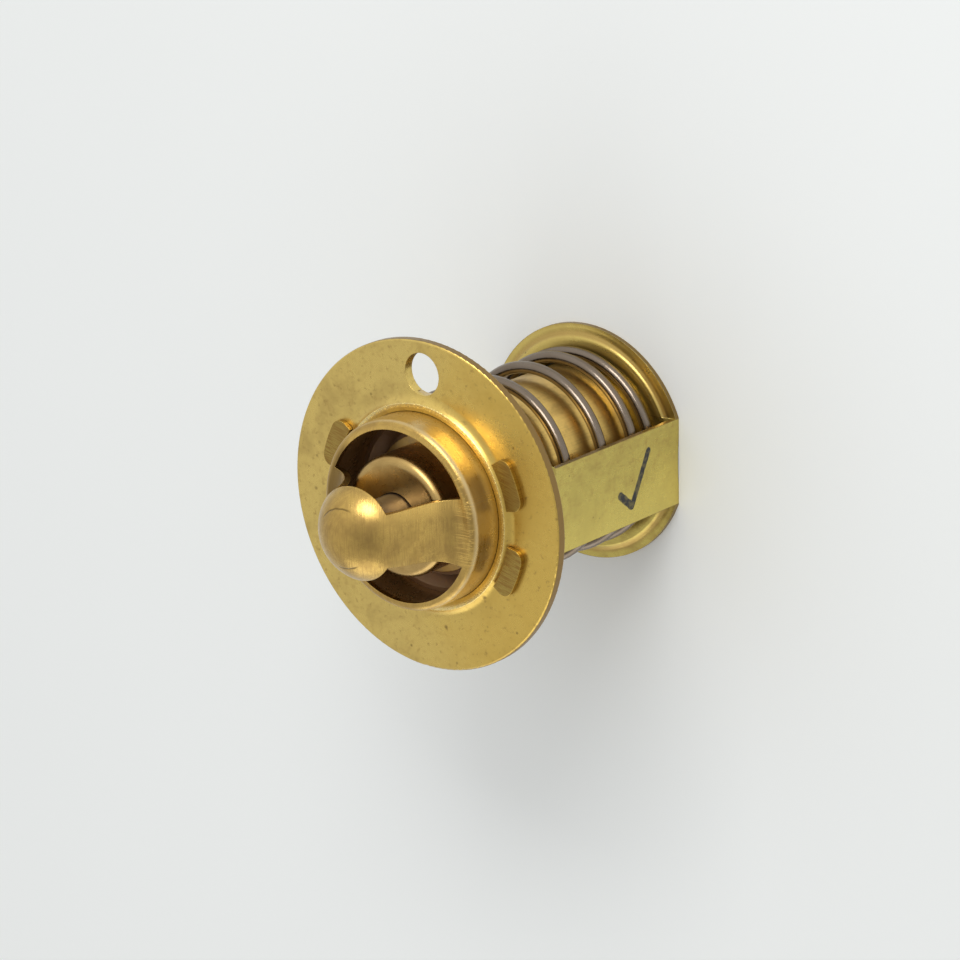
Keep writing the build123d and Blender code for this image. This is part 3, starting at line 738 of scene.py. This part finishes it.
def make_floor(studio):
    """The table top that the foot ring stands on."""
    shell = bmesh.new()
    bmesh.ops.create_grid(shell, x_segments=8, y_segments=8, size=studio.floor_size / 2)
    mesh = bpy.data.meshes.new("table_top")
    shell.to_mesh(mesh)
    shell.free()
    floor = bpy.data.objects.new("table_top", mesh)
    bpy.context.collection.objects.link(floor)
    mesh.materials.append(floor_finish(studio.floor_colour))


def make_room(studio):
    """Soft room light, brighter on the side of the large soft box and darker overhead."""
    world = bpy.data.worlds.new("soft room")
    bpy.context.scene.world = world
    world.use_nodes = True
    room = Tree(world.node_tree)
    direction = room.add("ShaderNodeTexCoord", out="Generated")
    bright_side = room.dot(direction, Vector((0.05, 0.95, 0.30)).normalized())
    overhead = room.dot(direction, Vector((0.45, 0.0, 0.89)).normalized())
    level = bright_side.between(-0.45, 0.95) * (studio.room_bright - studio.room_dark) + studio.room_dark
    level = level * (1 - overhead.between(0.60, 1.0) * studio.hood_depth)
    light = room.add("ShaderNodeBackground", inputs={"Color": (1, 1, 1, 1), "Strength": level})
    room.add("ShaderNodeOutputWorld", inputs={"Surface": light})


def make_camera(studio):
    """Long-lens camera that looks down past the flange, rolled so that the valve's axis lies aslant."""
    lens = bpy.data.cameras.new("camera")
    lens.lens = studio.camera_lens
    lens.sensor_width = 36.0
    lens.clip_start = 0.01
    lens.clip_end = 50.0
    camera = bpy.data.objects.new("camera", lens)
    right = Vector((0.76986, -0.01569, -0.63802)).normalized()
    back = Vector((0.60810, 0.32148, 0.72585)).normalized()
    up = back.cross(right).normalized()
    right = up.cross(back)
    axes = Matrix((right, up, back)).transposed().to_4x4()
    camera.matrix_world = Matrix.Translation(Vector(studio.camera_place)) @ axes
    bpy.context.collection.objects.link(camera)
    bpy.context.scene.camera = camera


# Operators

class COOLANT_OT_flange(bpy.types.Operator):
    """Finish the flange plate"""
    bl_idname = "coolant.flange"
    bl_label = "Flange"

    def execute(self, context):
        dress("seat_flange", flange_finish(context.scene.brass_look))
        return {"FINISHED"}


class COOLANT_OT_bridge(bpy.types.Operator):
    """Finish the cup with its strap and nose"""
    bl_idname = "coolant.bridge"
    bl_label = "Bridge cup"

    def execute(self, context):
        dress("bridge_cup", bridge_finish(context.scene.brass_look))
        return {"FINISHED"}


class COOLANT_OT_frame(bpy.types.Operator):
    """Finish the stirrup frame, with the inspector's tick on one leg"""
    bl_idname = "coolant.frame"
    bl_label = "Stirrup frame"

    def execute(self, context):
        scene = context.scene
        dress("lower_frame", frame_finish(scene.brass_look, scene.steel_look.ink_colour))
        return {"FINISHED"}


class COOLANT_OT_spring(bpy.types.Operator):
    """Finish the return spring"""
    bl_idname = "coolant.spring"
    bl_label = "Return spring"

    def execute(self, context):
        moving_spring(wire_finish(context.scene.steel_look))
        return {"FINISHED"}


class COOLANT_OT_valve(bpy.types.Operator):
    """Finish the valve plate and its retaining clip"""
    bl_idname = "coolant.valve"
    bl_label = "Valve plate and clip"

    def execute(self, context):
        dress("valve_plate", valve_finish(context.scene.brass_look))
        dress("retaining_clip", clip_finish(context.scene.steel_look))
        return {"FINISHED"}


class COOLANT_OT_element(bpy.types.Operator):
    """Finish the wax element: capsule, guide, piston and nose seat"""
    bl_idname = "coolant.element"
    bl_label = "Wax element"

    def execute(self, context):
        scene = context.scene
        turned = turned_finish(scene.brass_look)
        dress("guide_body", turned)
        dress("nose_seat", turned)
        dress("wax_capsule", capsule_finish(scene.brass_look))
        dress("piston", rod_finish(scene.steel_look))
        return {"FINISHED"}


class COOLANT_OT_inside(bpy.types.Operator):
    """Finish the washer, the boot and the wax inside the capsule"""
    bl_idname = "coolant.inside"
    bl_label = "Inside the capsule"

    def execute(self, context):
        looks = context.scene.steel_look
        dress("seal_washer", washer_finish(looks))
        dress("rubber_boot", rubber_finish(looks))
        dress("wax_charge", wax_finish(looks))
        return {"FINISHED"}


class COOLANT_OT_studio(bpy.types.Operator):
    """Set up the table top, the lamps, the room and the camera"""
    bl_idname = "coolant.studio"
    bl_label = "Studio"

    def execute(self, context):
        studio = context.scene.studio_look
        make_floor(studio)
        make_lamps(studio)
        make_room(studio)
        context.scene.view_settings.view_transform = "Standard"
        make_camera(studio)
        return {"FINISHED"}


class COOLANT_PT_panel(bpy.types.Panel):
    """Lists the finishes and the studio"""
    bl_idname = "COOLANT_PT_panel"
    bl_label = "Coolant valve"
    bl_space_type = "VIEW_3D"
    bl_region_type = "UI"
    bl_category = "Coolant valve"

    def draw(self, context):
        for one in OPERATORS:
            self.layout.operator(one.bl_idname)


OPERATORS = (
    COOLANT_OT_flange,
    COOLANT_OT_bridge,
    COOLANT_OT_frame,
    COOLANT_OT_spring,
    COOLANT_OT_valve,
    COOLANT_OT_element,
    COOLANT_OT_inside,
    COOLANT_OT_studio,
)
CLASSES = (BrassLook, SteelLook, StudioLook, *OPERATORS, COOLANT_PT_panel)


def register():
    for one in CLASSES:
        bpy.utils.register_class(one)
    bpy.types.Scene.brass_look = PointerProperty(type=BrassLook)
    bpy.types.Scene.steel_look = PointerProperty(type=SteelLook)
    bpy.types.Scene.studio_look = PointerProperty(type=StudioLook)


def unregister():
    for name in ("brass_look", "steel_look", "studio_look"):
        delattr(bpy.types.Scene, name)
    for one in reversed(CLASSES):
        bpy.utils.unregister_class(one)


def main():
    register()
    bpy.ops.coolant.flange()
    bpy.ops.coolant.bridge()
    bpy.ops.coolant.frame()
    bpy.ops.coolant.spring()
    bpy.ops.coolant.valve()
    bpy.ops.coolant.element()
    bpy.ops.coolant.inside()
    bpy.ops.coolant.studio()


if __name__ == "__main__":
    main()
